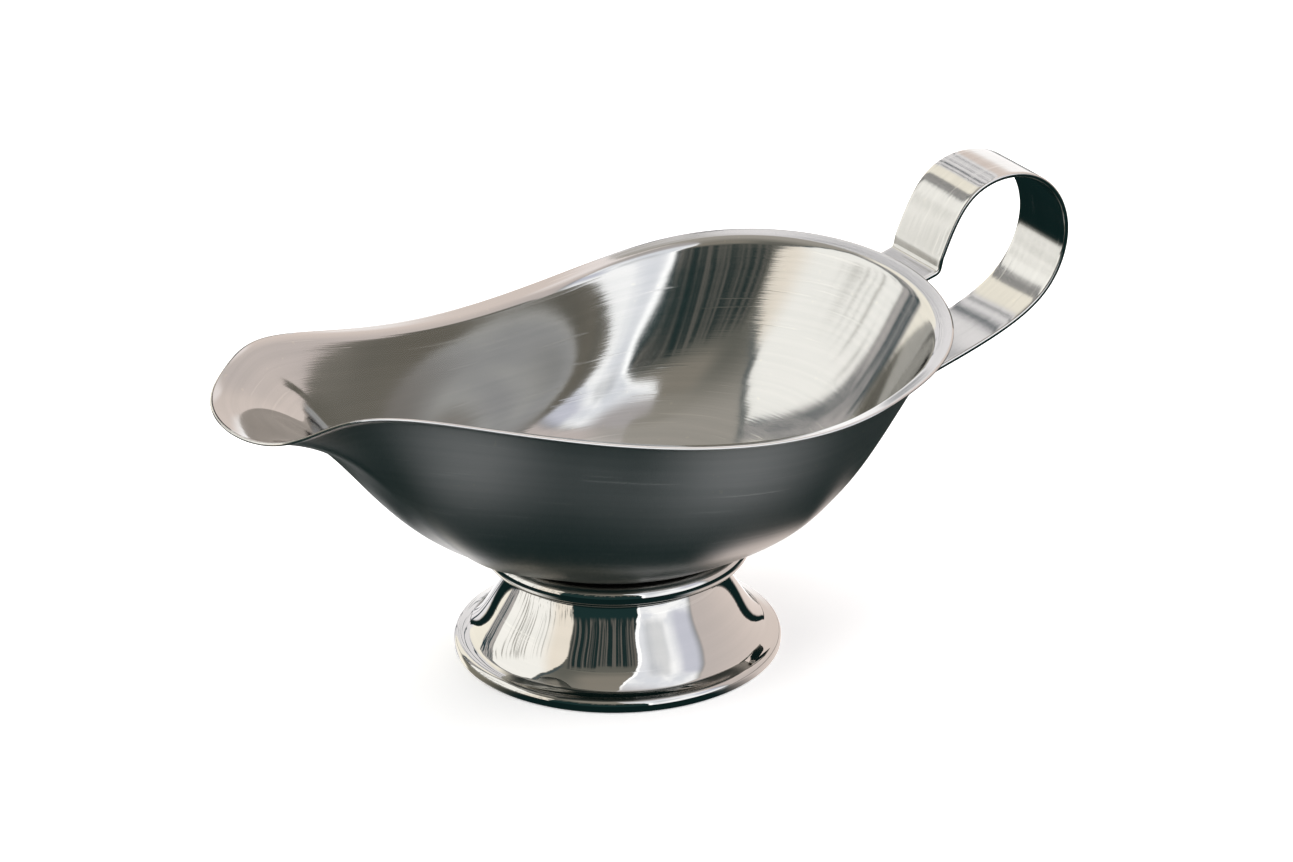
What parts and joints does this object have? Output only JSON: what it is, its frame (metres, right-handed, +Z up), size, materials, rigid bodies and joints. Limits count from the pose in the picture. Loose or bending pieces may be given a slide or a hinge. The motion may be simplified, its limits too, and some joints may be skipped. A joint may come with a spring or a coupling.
{
  "type": "gravy boat",
  "caption": "Stainless steel gravy boat: boat-shaped bowl with a long open spout and turned-out rim on a hollow spun foot, with a flat strap loop handle at the back",
  "frame": {"origin": "middle of the overall length and width, on the plane the foot stands on; the axis of the foot is 10.9 mm towards the spout from it", "axes": "+Z up, the spout points to -X and the handle to +X, +Y completes the right-handed frame; the XZ plane is the plane of symmetry"},
  "size_m": [0.2384, 0.114, 0.0984],
  "materials": {
    "bowl_satin": "satin-brushed stainless steel, brighter on the spout and rim",
    "foot_polished": "mirror-polished stainless steel",
    "handle_satin": "satin stainless steel strip",
    "filler": "dull filler metal"
  },
  "bodies": {
    "root": {"bowl": "bowl_satin", "foot": "foot_polished", "handle": "handle_satin", "foot_braze": "filler", "handle_top_weld": "filler", "handle_end_weld": "filler"}
  },
  "joints": []
}
